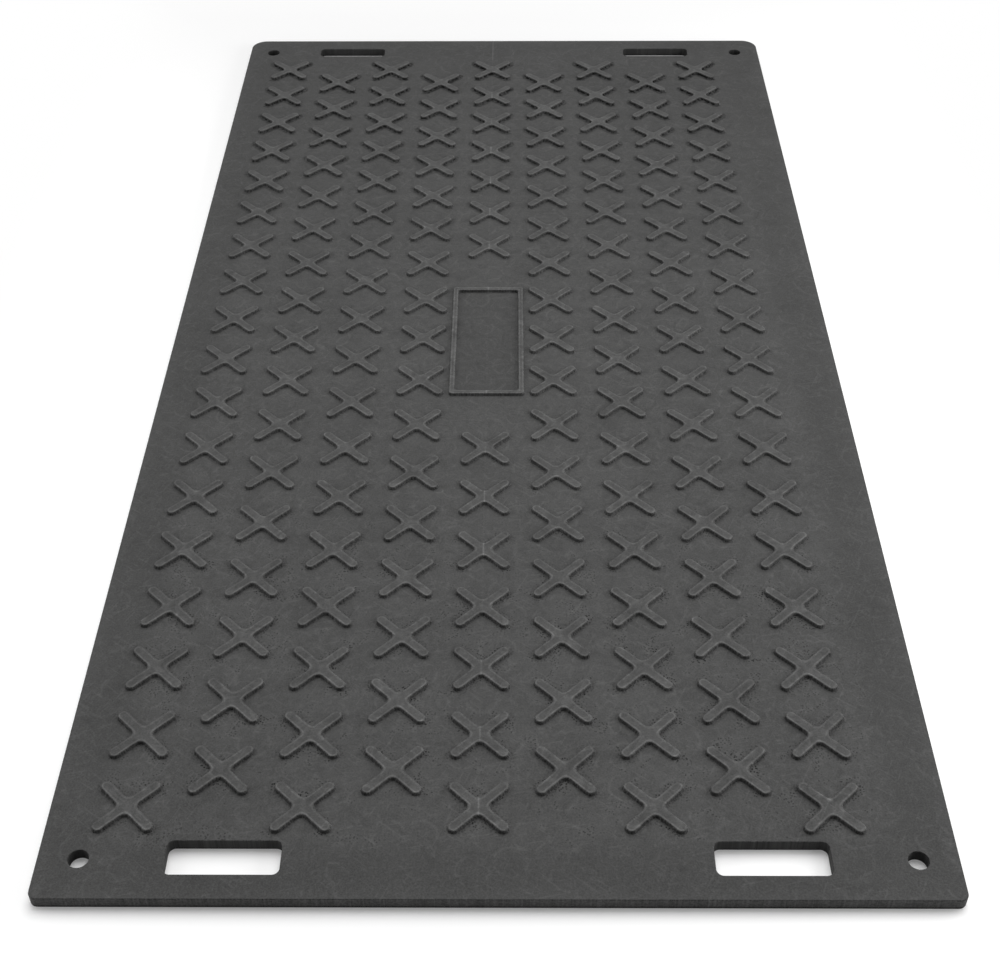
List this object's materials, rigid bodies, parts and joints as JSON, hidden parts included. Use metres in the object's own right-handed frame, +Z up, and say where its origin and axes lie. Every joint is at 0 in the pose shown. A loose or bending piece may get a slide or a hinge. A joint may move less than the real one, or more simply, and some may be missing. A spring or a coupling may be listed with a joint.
{
  "type": "ground protection mat",
  "caption": "Flat one-piece plastic ground protection mat with raised X treads on top, hand slots at both ends and a fixing hole in each corner.",
  "frame": {"origin": "middle of the underside, where the mat rests on the ground", "axes": "+Z up out of the tread side, +Y along the length towards the end with the larger corner radii, +X to the right"},
  "size_m": [1.22, 2.44, 0.023],
  "materials": {
    "black_hdpe": "satin moulded, lightly scuffed"
  },
  "bodies": {
    "root": {"mat": "black_hdpe"}
  },
  "joints": []
}
